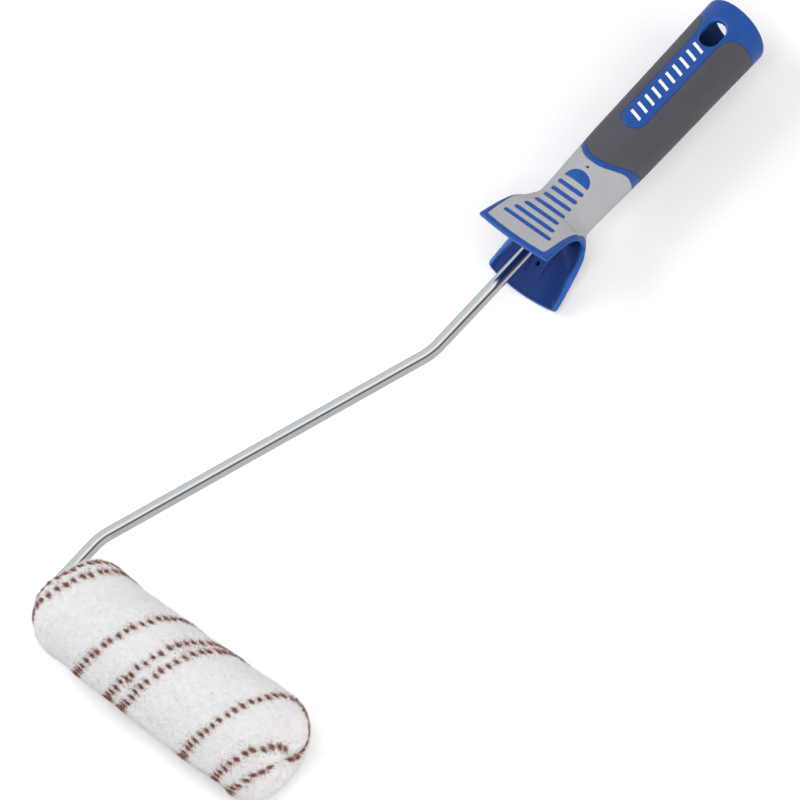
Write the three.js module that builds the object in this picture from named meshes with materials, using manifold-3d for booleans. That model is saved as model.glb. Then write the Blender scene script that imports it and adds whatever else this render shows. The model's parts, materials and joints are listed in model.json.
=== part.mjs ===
// Long-reach mini paint roller: a plush cover that spins on a bent wire frame with a moulded handle.
// Millimetres, +Z up. The tool is laid out with its roller axis along Y and its handle along +X,
// and the finished group is moved so that its origin is the middle of its footprint.
import * as THREE from "three";
import { mergeVertices } from "three/addons/utils/BufferGeometryUtils.js";
import Module from "manifold-3d";

const wasm = await Module();
wasm.setup();

// ---------- Driving dimensions ----------
const GAP = 0.3; // between neighbouring pieces

const WIRE_RADIUS = 3;
const WIRE_SIDES = 20;
const LEG_Y = 69.4; // the short leg beside the roller's end
const LEG_LENGTH = 33.9; // from the roller's axis to the second bend
const HANDLE_Y = 14.2; // the handle's axis, near the roller's middle
const REACH_X = 193.7; // the bend where the wire lines up with the handle
const LEG_BEND = 9;
const REACH_BEND = 28;
const EAR_REACH = 4.3; // how far a pressed ear stands off the wire's axis
const EAR_THICKNESS = 3.2;
const EAR_LENGTH = 6; // of the pair moulded into the handle
const EAR_U = 42;
const STOP_Y = 59.3; // the pair that the washer bears on
const STOP_LENGTH = 1.4;
const TIP_Y = -56.5;
const TIP_CHAMFER = 1;
const WIRE_END_U = 47; // how far the wire reaches into the handle

const TUBE_INNER = 6.9;
const TUBE_OUTER = 8.2;
const TUBE_LOW = -60;
const TUBE_HIGH = 54.7;
const PLUG_RADIUS = TUBE_INNER - GAP;
const PLUG_BORE = WIRE_RADIUS + GAP;
const PLUG_LENGTH = 17;
const FLANGE = 1.5;
const INNER_FACE = TUBE_HIGH - PLUG_LENGTH; // where the open end's bearing stops inside the tube
const RING_THICKNESS = 1;
const RING_Y = INNER_FACE - 0.4 - RING_THICKNESS / 2;
const RING_RADIUS = 5.4;
const RING_SPLIT = 1.6;
const GROOVE_RADIUS = 2.4;
const WASHER_THICKNESS = 1.2;

const PILE_RADIUS = 25.2;
const PILE_BULGE = 0.6;
const PILE_LOW = -71.5;
const PILE_HIGH = 65.8;
const PILE_ROUNDING = 17;
const DIMPLE_DEPTH = 4.5;
const EYE_RADIUS = 5.3; // the gathered opening round the wire

const MOUTH_X = 251.9; // front edge of the guard's two lips
const HANDLE_LENGTH = 148.4; // along its axis
const END_SLOPE = 0.17; // the end is cut so that the top stands out further
const LIP_HALF_WIDTH = 20.4;
const LIP_HALF_HEIGHT = 23.3;
const NECK_U = 36; // where the guard has become a round neck
const NECK_RADIUS = 14.1;
const LOWER_LIP_DROP = 0.9; // the lower lip hangs that much further from the axis
const UPPER_LIP = { front: 0, bow: 1.3 }; // where its corners stand, and how far its edge bows out
const LOWER_LIP = { front: -1.2, bow: 2 };
const GUARD_FRONT = -8; // in front of both lips
const LIP_WALL = 3.4;
const RIM = 2.8; // core left showing in front of the guard's soft skin
const SKIN_HALF_WIDTH = 16.8; // of the skin on the guard, inside its flared sides
const SHOULDER = [20.5, 31.5]; // where the flared sides draw in to the neck
const NOTCH_DEPTH = 22.8; // the arch between the lips, seen from the side
const NOTCH_HALF_HEIGHT = 20.3;
const MOUTH_DEPTH = 32;
const SKIN = 1.6; // soft skin over the core
const SLOT_COUNT = 7;
const SLOT_FIRST = 9.9;
const SLOT_PITCH = 4.57;
const SLOT_WIDTH = 2;
const SLOT_LENGTH_FRONT = 27.2;
const SLOT_LENGTH_BACK = 14.2;
const SLOT_TAPER = 2.2;
const SLOT_BEND = 0.0137; // on the round neck the slots curve back, so that they look straight
const SLOT_BEND_ZONE = [18, 30];
const MOON_U = 41.3;
const MOON_HALF_WIDTH = 6.7;
const MOON_HEIGHT = 5.7;
const SKIN_END = 53; // on top, and further back round the sides
const SKIN_END_LAG = 6.7;
const SKIN_FAR_END = 80; // past the skin's rear edge all round
const GRIP_START = 55.4; // on top, and further back round the sides
const GRIP_START_LAG = 9;
const GRIP_LOBE_END = 139.8;
const PANEL_TIP = 75.8;
const PANEL_HALF_WIDTH = 6.2;
const HANG_HOLE_U = 134.2;
const HANG_HOLE_LENGTH = 13.6;
const HANG_HOLE_WIDTH = 9.8;
const SOCKET_FLOOR = 56;
const SOCKET_RADIUS_IN = 11.2;
const SOCKET_RADIUS_OUT = 12.7;
const PIN_HOLE_U = 10.5;
const PIN_HOLE_RADIUS = 0.8;
const RIB_Y = 4.4;
const RIB_HALF_THICKNESS = 0.4;

const HANDLE_SIDES = 32;
const GUARD_STEP = 3; // between cross-sections, where the guard flares
const GRIP_STEP = 14; // and along the grip
const CLEAR = 30; // how far a cutting tool reaches past the handle's axis

// ---------- Finishes ----------
const finish = (color, roughness, metalness) =>
  new THREE.MeshStandardMaterial({ color, roughness, metalness });
const BLUE_PLASTIC = finish(0x17479e, 0.38, 0);
const LIGHT_RUBBER = finish(0xb9bcc4, 0.6, 0);
const DARK_RUBBER = finish(0x55545c, 0.75, 0);
const ZINC_WIRE = finish(0xc9ccd2, 0.25, 1);
const WHITE_PILE = finish(0xf1f1f1, 0.95, 0);
const WHITE_PLASTIC = finish(0xe4e4e0, 0.5, 0);
const SPRING_STEEL = finish(0x9a9ca2, 0.35, 1);

// ---------- Solids ----------
function solidOf(geometry) {
  const bare = geometry.index ? geometry.toNonIndexed() : geometry.clone();
  bare.deleteAttribute("normal");
  bare.deleteAttribute("uv");
  const merged = mergeVertices(bare, 1e-4);
  const faces = new Uint32Array(merged.index.array);
  const vertProperties = merged.attributes.position.array;
  const made = new wasm.Manifold(new wasm.Mesh({ numProp: 3, vertProperties, triVerts: faces }));
  return made.volume() > 0 ? made : solidOf(turnedInsideOut(merged));
}

function turnedInsideOut(geometry) {
  const index = geometry.index.array;
  for (let i = 0; i < index.length; i += 3) {
    [index[i], index[i + 1]] = [index[i + 1], index[i]];
  }
  return geometry;
}

function geometryOf(solid) {
  const mesh = solid.getMesh();
  const geometry = new THREE.BufferGeometry();
  const position = new THREE.BufferAttribute(new Float32Array(mesh.vertProperties), mesh.numProp);
  geometry.setAttribute("position", position);
  geometry.setIndex(new THREE.BufferAttribute(new Uint32Array(mesh.triVerts), 1));
  geometry.computeVertexNormals();
  return geometry;
}

function piece(name, solid, material) {
  const mesh = new THREE.Mesh(geometryOf(solid), material);
  mesh.name = name;
  return mesh;
}

const smoothstep = (low, high, value) => THREE.MathUtils.smoothstep(value, low, high);

// ---------- Turned pieces on the roller's axis (Y) ----------
function turned(outline, sides) {
  const points = outline.map(([radius, y]) => new THREE.Vector2(radius, y));
  return solidOf(new THREE.LatheGeometry(points, sides));
}

// A ring with a square section, between two radii and two places along Y.
function ring(inner, outer, low, high, sides = 28) {
  const section = [[inner, low], [outer, low], [outer, high], [inner, high], [inner, low]];
  return turned(section, sides);
}

// ---------- The bent wire ----------
// A run of straight lines with round bends, given by its corners. Each straight is one step,
// and each bend is divided by angle.
class BentRod extends THREE.Curve {
  constructor(corners, bendRadii, degreesPerStep) {
    super();
    this.stations = [corners[0]];
    for (let i = 1; i < corners.length - 1; i++) {
      this.addBend(corners[i - 1], corners[i], corners[i + 1], bendRadii[i - 1], degreesPerStep);
    }
    this.stations.push(corners[corners.length - 1]);
  }

  addBend(before, corner, after, radius, degreesPerStep) {
    const back = before.clone().sub(corner).normalize();
    const ahead = after.clone().sub(corner).normalize();
    const turn = Math.PI - back.angleTo(ahead);
    const setback = radius * Math.tan(turn / 2);
    const bisector = back.clone().add(ahead).normalize();
    const centre = corner.clone().addScaledVector(bisector, radius / Math.cos(turn / 2));
    const start = corner.clone().addScaledVector(back, setback).sub(centre);
    const axis = new THREE.Vector3().crossVectors(ahead, back).normalize();
    const steps = Math.ceil(THREE.MathUtils.radToDeg(turn) / degreesPerStep);
    for (let i = 0; i <= steps; i++) {
      const arm = start.clone().applyAxisAngle(axis, (turn * i) / steps);
      this.stations.push(arm.add(centre));
    }
  }

  getPoint(t, target = new THREE.Vector3()) {
    const last = this.stations.length - 1;
    const place = THREE.MathUtils.clamp(t, 0, 1) * last;
    const index = Math.min(Math.floor(place), last - 1);
    return target.lerpVectors(this.stations[index], this.stations[index + 1], place - index);
  }

  getPointAt(t, target) {
    return this.getPoint(t, target);
  }

  getTangentAt(t, target) {
    return this.getTangent(t, target);
  }
}

function box(sizeX, sizeY, sizeZ, x, y, z) {
  return solidOf(new THREE.BoxGeometry(sizeX, sizeY, sizeZ).translate(x, y, z));
}

function wireFrame() {
  const corners = [
    new THREE.Vector3(0, TIP_Y, 0),
    new THREE.Vector3(0, LEG_Y, 0),
    new THREE.Vector3(LEG_LENGTH, LEG_Y, 0),
    new THREE.Vector3(REACH_X, HANDLE_Y, 0),
    new THREE.Vector3(MOUTH_X + WIRE_END_U, HANDLE_Y, 0),
  ];
  const rod = new BentRod(corners, [LEG_BEND, REACH_BEND, REACH_BEND], 10);
  const section = new THREE.Shape().absarc(0, 0, WIRE_RADIUS, 0, Math.PI * 2);
  const steps = rod.stations.length - 1;
  const curveSegments = WIRE_SIDES / 2;
  const bar = solidOf(new THREE.ExtrudeGeometry(section, { steps, curveSegments, extrudePath: rod }));
  const stopEars = box(EAR_REACH * 2, STOP_LENGTH, EAR_THICKNESS, 0, STOP_Y, 0);
  const handleEars = box(EAR_LENGTH, EAR_REACH * 2, EAR_THICKNESS, MOUTH_X + EAR_U, HANDLE_Y, 0);
  const grooveLow = RING_Y - RING_THICKNESS / 2 - GAP;
  const grooveHigh = RING_Y + RING_THICKNESS / 2 + GAP;
  const groove = ring(GROOVE_RADIUS, WIRE_RADIUS + 1, grooveLow, grooveHigh);
  const tipChamfer = turned(
    [
      [WIRE_RADIUS - TIP_CHAMFER, TIP_Y - TIP_CHAMFER],
      [WIRE_RADIUS + TIP_CHAMFER, TIP_Y - TIP_CHAMFER],
      [WIRE_RADIUS + TIP_CHAMFER, TIP_Y + TIP_CHAMFER * 2],
      [WIRE_RADIUS - TIP_CHAMFER, TIP_Y - TIP_CHAMFER],
    ],
    28,
  );
  return bar.add(stopEars).add(handleEars).subtract(groove).subtract(tipChamfer);
}

// ---------- The roller ----------
function coreTube() {
  return ring(TUBE_INNER, TUBE_OUTER, TUBE_LOW, TUBE_HIGH);
}

function openEndBearing() {
  const plug = ring(PLUG_BORE, PLUG_RADIUS, INNER_FACE, TUBE_HIGH + GAP + FLANGE / 2);
  const flange = ring(PLUG_BORE, TUBE_OUTER, TUBE_HIGH + GAP, TUBE_HIGH + GAP + FLANGE);
  return plug.add(flange);
}

function closedEndBearing() {
  const face = TUBE_LOW - GAP;
  const blindEnd = TIP_Y - 1.5;
  const outline = [
    [0, face - FLANGE],
    [TUBE_OUTER, face - FLANGE],
    [TUBE_OUTER, face],
    [PLUG_RADIUS, face],
    [PLUG_RADIUS, face + PLUG_LENGTH],
    [PLUG_BORE, face + PLUG_LENGTH],
    [PLUG_BORE, blindEnd],
    [0, blindEnd],
  ];
  return turned(outline, 28);
}

function retainingRing() {
  const low = RING_Y - RING_THICKNESS / 2;
  const whole = ring(GROOVE_RADIUS + GAP, RING_RADIUS, low, low + RING_THICKNESS);
  const split = box(PLUG_RADIUS * 2, RING_THICKNESS * 3, RING_SPLIT, PLUG_RADIUS, RING_Y, 0);
  return whole.subtract(split);
}

function thrustWasher() {
  const low = TUBE_HIGH + FLANGE + GAP * 2;
  return ring(PLUG_BORE, PLUG_RADIUS, low, low + WASHER_THICKNESS);
}

// The plush cover: open round the wire at its high end, drawn shut over its low end.
function pileCover() {
  const bore = TUBE_OUTER + GAP;
  const wide = PILE_RADIUS + PILE_BULGE; // near the drawn-shut end
  const lowArc = new THREE.Vector2(wide - PILE_ROUNDING, PILE_LOW + PILE_ROUNDING);
  const highArc = new THREE.Vector2(PILE_RADIUS - PILE_ROUNDING, PILE_HIGH - PILE_ROUNDING);
  const outline = new THREE.Path();
  outline.moveTo(0, TUBE_LOW - GAP * 2 - FLANGE);
  outline.lineTo(bore, TUBE_LOW - GAP * 2 - FLANGE);
  outline.lineTo(bore, STOP_Y - STOP_LENGTH / 2 - GAP);
  outline.lineTo(EYE_RADIUS, STOP_Y);
  outline.lineTo(EYE_RADIUS, PILE_HIGH - DIMPLE_DEPTH);
  outline.quadraticCurveTo(EYE_RADIUS + 0.8, PILE_HIGH, highArc.x, PILE_HIGH);
  outline.absarc(highArc.x, highArc.y, PILE_ROUNDING, Math.PI / 2, 0, true);
  outline.lineTo(PILE_RADIUS, 0);
  outline.bezierCurveTo(PILE_RADIUS, -20, wide, -30, wide, lowArc.y);
  outline.absarc(lowArc.x, lowArc.y, PILE_ROUNDING, 0, -Math.PI / 2, true);
  outline.quadraticCurveTo(4, PILE_LOW, 0, PILE_LOW + DIMPLE_DEPTH);
  const points = outline.getPoints(4);
  return solidOf(new THREE.LatheGeometry(points, 32));
}

// ---------- The handle ----------
// Handle pieces are made in the handle's own frame: u runs from the lips' front edge to the end.
const WAIST = [
  [NECK_U, NECK_RADIUS],
  [50, 14.65],
  [65, 15.2],
  [87, 15.5],
  [120, 15.9],
  [152, 16.5],
];
const waistCurve = new THREE.SplineCurve(WAIST.map(([u, radius]) => new THREE.Vector2(u, radius)));
const waistPoints = waistCurve.getPoints(60);

function waistRadius(u) {
  const after = waistPoints.findIndex((point) => point.x >= u);
  if (after <= 0) return after === 0 ? waistPoints[0].y : waistPoints[waistPoints.length - 1].y;
  const [a, b] = [waistPoints[after - 1], waistPoints[after]];
  return THREE.MathUtils.mapLinear(u, a.x, b.x, a.y, b.y);
}

const flare = (u, power) => Math.pow(Math.max(0, 1 - u / NECK_U), power);

function halfWidth(u) {
  return waistRadius(u) + (LIP_HALF_WIDTH - NECK_RADIUS) * (1 - smoothstep(...SHOULDER, u));
}

function halfHeight(u, drop) {
  return waistRadius(u) + (LIP_HALF_HEIGHT + drop - NECK_RADIUS) * flare(u, 1.6);
}

// 2 is an ellipse, and a larger number is nearer to a rectangle.
function squareness(u) {
  return 2 + 12 * Math.pow(Math.max(0, 1 - u / 24), 1.25);
}

// One point of the handle's outline at u, at an angle from the top, moved in by inset.
function outlinePoint(u, angle, inset) {
  const squared = (value) => {
    const size = Math.abs(value) < 1e-5 ? 0 : Math.pow(Math.abs(value), 2 / squareness(u));
    return Math.sign(value) * size;
  };
  const y = squared(Math.sin(angle)) * (halfWidth(u) - inset);
  const drop = Math.cos(angle) < 0 ? LOWER_LIP_DROP : 0;
  const z = squared(Math.cos(angle)) * (halfHeight(u, drop) - inset);
  return [y, z];
}

// The handle's outline between two places, as a closed body, moved in by inset.
// slope leans its far end to match the end cut.
function handleBody(from, to, inset, slope = 0) {
  const stations = [from];
  while (stations.at(-1) < to) {
    const last = stations.at(-1);
    stations.push(Math.min(to, last + (last < NECK_U ? GUARD_STEP : GRIP_STEP)));
  }
  const rings = stations.length - 1;
  const geometry = new THREE.CylinderGeometry(1, 1, 1, HANDLE_SIDES, rings);
  const position = geometry.attributes.position;
  for (let i = 0; i < position.count; i++) {
    const u = stations[Math.round((position.getY(i) + 0.5) * rings)];
    const across = Math.hypot(position.getX(i), position.getZ(i));
    const angle = Math.atan2(position.getX(i), position.getZ(i));
    const [y, z] = outlinePoint(u, angle, inset);
    const lean = slope * z * smoothstep(to - GRIP_STEP * 2, to, u);
    position.setXYZ(i, u + lean * across, y * across, z * across);
  }
  return solidOf(geometry);
}

// A shape drawn in plan (u, y), pushed up through z.
function throughZ(shape, low, high, curveSegments = 6) {
  const extruded = new THREE.ExtrudeGeometry(shape, {
    depth: high - low,
    bevelEnabled: false,
    curveSegments,
  });
  return solidOf(extruded.translate(0, 0, low));
}

// A shape drawn from the side (u, z), pushed through y both ways.
function throughY(shape, halfDepth, curveSegments = 7) {
  const extruded = new THREE.ExtrudeGeometry(shape, {
    depth: halfDepth * 2,
    bevelEnabled: false,
    curveSegments,
  });
  extruded.translate(0, 0, -halfDepth).rotateX(Math.PI / 2);
  return solidOf(extruded);
}

// A cone-ended bar along the handle's axis.
function bar(from, to, radiusFrom, radiusTo, sides = 40) {
  const geometry = new THREE.CylinderGeometry(radiusTo, radiusFrom, to - from, sides);
  geometry.rotateZ(-Math.PI / 2).translate((from + to) / 2, 0, 0);
  return solidOf(geometry);
}

// The arch between the lips, from the side.
function notchShape() {
  const depth = NOTCH_DEPTH;
  const top = NOTCH_HALF_HEIGHT;
  const bottom = top + LOWER_LIP_DROP;
  const shape = new THREE.Shape();
  shape.moveTo(GUARD_FRONT, -bottom - 2);
  shape.lineTo(-2, -bottom);
  shape.bezierCurveTo(7, -(bottom - 3.6), depth, -(bottom - 5.4), depth, 0);
  shape.bezierCurveTo(depth, top - 5.4, 7, top - 3.6, -2, top);
  shape.lineTo(GUARD_FRONT, top + 2);
  return shape;
}

// A slot across the guard with round ends, whose middle line follows u + bend * y * y.
function slotShape(length, width, u, bend) {
  const reach = (length - width) / 2;
  const steps = 6;
  const half = [];
  for (let i = 0; i <= steps; i++) {
    const y = THREE.MathUtils.lerp(-reach, reach, i / steps);
    half.push([u + bend * y * y + width / 2, y]);
  }
  for (const angle of [45, 90, 135]) {
    const turn = THREE.MathUtils.degToRad(angle);
    const end = [u + bend * reach * reach, reach];
    half.push([end[0] + (Math.cos(turn) * width) / 2, end[1] + (Math.sin(turn) * width) / 2]);
  }
  for (let i = steps; i >= 0; i--) {
    const y = THREE.MathUtils.lerp(-reach, reach, i / steps);
    half.push([u + bend * y * y - width / 2, y]);
  }
  for (const angle of [225, 270, 315]) {
    const turn = THREE.MathUtils.degToRad(angle);
    const end = [u + bend * reach * reach, -reach];
    half.push([end[0] + (Math.cos(turn) * width) / 2, end[1] + (Math.sin(turn) * width) / 2]);
  }
  return new THREE.Shape(half.map(([across, along]) => new THREE.Vector2(across, along)));
}

// How far back the neck's skin and the grip's front edge run, at an angle from the top.
const skinEdge = (angle) => SKIN_END + SKIN_END_LAG * smoothstep(0.1, 1.3, Math.abs(angle));
const gripEdge = (angle) => GRIP_START + GRIP_START_LAG * smoothstep(0, 1.65, Math.abs(angle));

// Everything in front of (or behind) an edge that runs round the handle.
function besideEdge(edge, far) {
  const geometry = new THREE.CylinderGeometry(CLEAR, CLEAR, 1, HANDLE_SIDES, 1);
  const position = geometry.attributes.position;
  for (let i = 0; i < position.count; i++) {
    const [x, z] = [position.getX(i), position.getZ(i)];
    const onAxis = Math.hypot(x, z) < 1;
    const angle = Math.atan2(x, z);
    const u = position.getY(i) < 0 ? far : onAxis ? edge(Math.PI / 2) : edge(angle);
    position.setXYZ(i, u, x, z);
  }
  return solidOf(geometry);
}

// Where a lip's front edge stands at y.
function frontAt(lip, y) {
  return lip.front - lip.bow * (1 - (y / LIP_HALF_WIDTH) ** 2);
}

// Everything behind the two lips' front edges.
function behindFront() {
  const [upper, lower] = [UPPER_LIP, LOWER_LIP].map((lip) => {
    const side = frontAt(lip, CLEAR);
    const shape = new THREE.Shape();
    shape.moveTo(side, CLEAR);
    shape.quadraticCurveTo(2 * frontAt(lip, 0) - side, 0, side, -CLEAR);
    shape.lineTo(HANDLE_LENGTH + CLEAR, -CLEAR);
    shape.lineTo(HANDLE_LENGTH + CLEAR, CLEAR);
    return shape;
  });
  return throughZ(upper, 0, CLEAR, 10).add(throughZ(lower, -CLEAR, 0, 10));
}

// The neck skin's outline, seen from above: as wide as the guard's flat faces, then the whole neck.
function skinShape(lip, inset) {
  const front = (y) => frontAt(lip, y) + RIM + inset;
  const side = SKIN_HALF_WIDTH - inset;
  const corner = 2.5;
  const straight = side - corner;
  const neck = SHOULDER[0] + 6 + inset; // the flared sides have drawn in to the skin's width here
  const shape = new THREE.Shape();
  shape.moveTo(front(straight), straight);
  shape.quadraticCurveTo(2 * front(0) - front(straight), 0, front(straight), -straight);
  shape.quadraticCurveTo(front(side), -side, front(side) + corner, -side);
  shape.lineTo(neck, -side);
  shape.lineTo(neck, -CLEAR);
  shape.lineTo(SKIN_FAR_END, -CLEAR);
  shape.lineTo(SKIN_FAR_END, CLEAR);
  shape.lineTo(neck, CLEAR);
  shape.lineTo(neck, side);
  shape.lineTo(front(side) + corner, side);
  shape.quadraticCurveTo(front(side), side, front(straight), straight);
  return shape;
}

// Where the neck's soft skin lies. shrink pulls its edges in all round.
function skinZone(shrink) {
  const front = besideEdge((angle) => skinEdge(angle) - shrink, -5);
  const upper = throughZ(skinShape(UPPER_LIP, shrink), 0, CLEAR);
  const lower = throughZ(skinShape(LOWER_LIP, shrink), -CLEAR, 0);
  return upper.add(lower).intersect(front);
}

function slots(grow) {
  const moon = new THREE.Shape();
  moon.moveTo(MOON_U - grow, -MOON_HALF_WIDTH - grow);
  moon.bezierCurveTo(
    MOON_U + (MOON_HEIGHT + grow) * 1.33, -MOON_HALF_WIDTH - grow,
    MOON_U + (MOON_HEIGHT + grow) * 1.33, MOON_HALF_WIDTH + grow,
    MOON_U - grow, MOON_HALF_WIDTH + grow,
  );
  let cut = throughZ(moon, 5, CLEAR);
  for (let i = 0; i < SLOT_COUNT; i++) {
    const u = SLOT_FIRST + SLOT_PITCH * i;
    const share = Math.pow(1 - i / (SLOT_COUNT - 1), SLOT_TAPER);
    const length = THREE.MathUtils.lerp(SLOT_LENGTH_BACK, SLOT_LENGTH_FRONT, share);
    const bend = SLOT_BEND * smoothstep(...SLOT_BEND_ZONE, u);
    const shape = slotShape(length + grow * 2, SLOT_WIDTH + grow * 2, u, bend);
    cut = cut.add(throughZ(shape, 5, CLEAR));
  }
  return cut;
}

// The blue strip that the grip leaves bare on top, which widens into the end cap.
function panelShape(grow) {
  const half = PANEL_HALF_WIDTH + grow;
  const lobe = GRIP_LOBE_END - grow;
  const shape = new THREE.Shape();
  shape.moveTo(160, -CLEAR);
  shape.lineTo(lobe, -CLEAR);
  shape.lineTo(lobe, -14.5);
  shape.bezierCurveTo(lobe - 1, -half - 1.5, lobe - 5, -half, lobe - 14, -half);
  shape.lineTo(PANEL_TIP + half, -half);
  shape.absarc(PANEL_TIP - grow + half, 0, half, -Math.PI / 2, Math.PI / 2, true);
  shape.lineTo(lobe - 14, half);
  shape.bezierCurveTo(lobe - 5, half, lobe - 1, half + 1.5, lobe, 14.5);
  shape.lineTo(lobe, CLEAR);
  shape.lineTo(160, CLEAR);
  return shape;
}

function gripZone(shrink) {
  const behind = besideEdge((angle) => gripEdge(angle) + shrink, GRIP_LOBE_END - shrink);
  const panel = throughZ(panelShape(shrink), 0, CLEAR);
  return behind.subtract(panel);
}

function handleBlank(inset) {
  const start = LOWER_LIP.front - LOWER_LIP.bow - 1;
  return handleBody(start, HANDLE_LENGTH, inset, END_SLOPE).intersect(behindFront());
}

function handleCore() {
  const underSkin = handleBody(GUARD_FRONT, HANDLE_LENGTH + 8, SKIN + GAP);
  const mouth = handleBody(GUARD_FRONT, MOUTH_DEPTH, LIP_WALL);
  const notch = throughY(notchShape(), CLEAR);
  const socket = bar(SOCKET_FLOOR, HANDLE_LENGTH + 8, SOCKET_RADIUS_IN, SOCKET_RADIUS_OUT);
  const wireBore = bar(MOUTH_DEPTH - 4, WIRE_END_U + 1, PLUG_BORE, PLUG_BORE, 24);
  const pocketWidth = (EAR_REACH + GAP) * 2;
  const earPocket = box(EAR_LENGTH + GAP * 2, pocketWidth, EAR_THICKNESS + GAP * 2, EAR_U, 0, 0);
  const pinOutline = new THREE.Shape().absarc(PIN_HOLE_U, 0, PIN_HOLE_RADIUS, 0, Math.PI * 2);
  const pinHole = throughZ(pinOutline, -CLEAR, 0, 5);
  const hangHole = throughZ(hangHoleShape(), 0, CLEAR);
  let core = handleBlank(0);
  core = core.subtract(skinZone(0).subtract(underSkin));
  core = core.subtract(gripZone(0).subtract(underSkin));
  core = core.subtract(mouth).subtract(notch);
  core = core.subtract(socket).subtract(wireBore).subtract(earPocket);
  return core.subtract(pinHole).subtract(hangHole).add(lipRibs().intersect(underSkin));
}

function hangHoleShape() {
  const shape = new THREE.Shape();
  const reach = (HANG_HOLE_LENGTH - HANG_HOLE_WIDTH) / 2;
  const radius = HANG_HOLE_WIDTH / 2;
  shape.absarc(HANG_HOLE_U + reach, 0, radius, -Math.PI / 2, Math.PI / 2, false);
  shape.absarc(HANG_HOLE_U - reach, 0, radius, Math.PI / 2, Math.PI * 1.5, false);
  return shape;
}

// Two thin stiffening ribs on the inside of the lower lip.
function lipRibs() {
  const ribs = [-RIB_Y, RIB_Y].map((y) => {
    const shape = new THREE.Shape();
    shape.moveTo(4.8, -18.2);
    shape.lineTo(12, -14.9);
    shape.lineTo(MOUTH_DEPTH + 1, -8.8);
    shape.lineTo(MOUTH_DEPTH + 1, -12.4);
    shape.lineTo(12, -17.2);
    shape.lineTo(4.8, -19.4);
    return throughY(shape, RIB_HALF_THICKNESS).translate([0, y, 0]);
  });
  return ribs[0].add(ribs[1]);
}

function neckSkin() {
  const shell = handleBlank(0).subtract(handleBody(GUARD_FRONT, SKIN_FAR_END, SKIN));
  return shell.intersect(skinZone(GAP)).subtract(slots(0));
}

function gripSkin() {
  const shell = handleBlank(0).subtract(handleBody(NECK_U, HANDLE_LENGTH + 8, SKIN));
  return shell.intersect(gripZone(GAP));
}

// ---------- Assembly ----------
const handle = new THREE.Group();
handle.position.set(MOUTH_X, HANDLE_Y, 0);
handle.add(
  piece("handle_core", handleCore(), BLUE_PLASTIC),
  piece("neck_skin", neckSkin(), LIGHT_RUBBER),
  piece("grip_skin", gripSkin(), DARK_RUBBER),
);

const roller = new THREE.Group();
roller.add(
  piece("pile_cover", pileCover(), WHITE_PILE),
  piece("core_tube", coreTube(), WHITE_PLASTIC),
  piece("open_end_bearing", openEndBearing(), WHITE_PLASTIC),
  piece("closed_end_bearing", closedEndBearing(), WHITE_PLASTIC),
);

const tool = new THREE.Group();
tool.add(
  handle,
  roller,
  piece("wire_frame", wireFrame(), ZINC_WIRE),
  piece("thrust_washer", thrustWasher(), WHITE_PLASTIC),
  piece("retaining_ring", retainingRing(), SPRING_STEEL),
);

// The origin is the middle of the footprint, on the surface that the tool lies on.
const extent = new THREE.Box3().setFromObject(tool, true);
const middle = extent.getCenter(new THREE.Vector3());
tool.position.set(-middle.x, -middle.y, -extent.min.z);

const part = new THREE.Group();
part.add(tool);

export default part;
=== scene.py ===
import json
import math

import bpy
import numpy as np
from mathutils import Matrix, Vector


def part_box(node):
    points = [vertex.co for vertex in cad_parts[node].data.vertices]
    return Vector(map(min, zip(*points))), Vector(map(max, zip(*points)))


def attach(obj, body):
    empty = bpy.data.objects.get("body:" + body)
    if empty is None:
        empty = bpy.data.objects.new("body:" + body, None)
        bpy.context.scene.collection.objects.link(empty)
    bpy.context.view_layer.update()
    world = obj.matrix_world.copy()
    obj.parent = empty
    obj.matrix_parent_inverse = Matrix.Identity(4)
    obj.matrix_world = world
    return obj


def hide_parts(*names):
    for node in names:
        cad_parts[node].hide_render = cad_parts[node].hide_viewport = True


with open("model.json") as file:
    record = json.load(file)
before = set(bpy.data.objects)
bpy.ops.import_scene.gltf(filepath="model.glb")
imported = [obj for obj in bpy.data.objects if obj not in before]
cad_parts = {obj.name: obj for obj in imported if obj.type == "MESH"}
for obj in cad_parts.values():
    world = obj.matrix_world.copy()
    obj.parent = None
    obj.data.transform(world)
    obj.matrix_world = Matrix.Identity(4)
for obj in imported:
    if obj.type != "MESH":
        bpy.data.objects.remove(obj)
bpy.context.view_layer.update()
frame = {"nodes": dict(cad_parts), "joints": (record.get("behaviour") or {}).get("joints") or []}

# ---- datums from the frame
MM = 0.001
SPIN = frame["joints"][0]
AXIS_X, _, AXIS_Z = SPIN["pos_m"]
PILE_LOW, PILE_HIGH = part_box("pile_cover")
CORE_LOW, CORE_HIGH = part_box("handle_core")
WIRE_LOW, WIRE_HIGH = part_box("wire_frame")
# The lower lip's corners stand this far in front of the upper lip's, and its edge bows out more.
UPPER_FRONT, UPPER_BOW = 0.0, 1.3
LOWER_FRONT, LOWER_BOW = -1.2, 2.0
MOUTH_X = CORE_LOW.x + (LOWER_BOW - LOWER_FRONT) * MM
HANDLE_Y = (CORE_LOW.y + CORE_HIGH.y) / 2
WIRE_RADIUS = (WIRE_HIGH.z - WIRE_LOW.z) / 2

SEED = 20
rng = np.random.default_rng(SEED)


# ---- meshes
def linked(mesh):
    """An object of the mesh's name, in the scene."""
    mesh.validate()
    obj = bpy.data.objects.new(mesh.name, mesh)
    bpy.context.scene.collection.objects.link(obj)
    return obj


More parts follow.
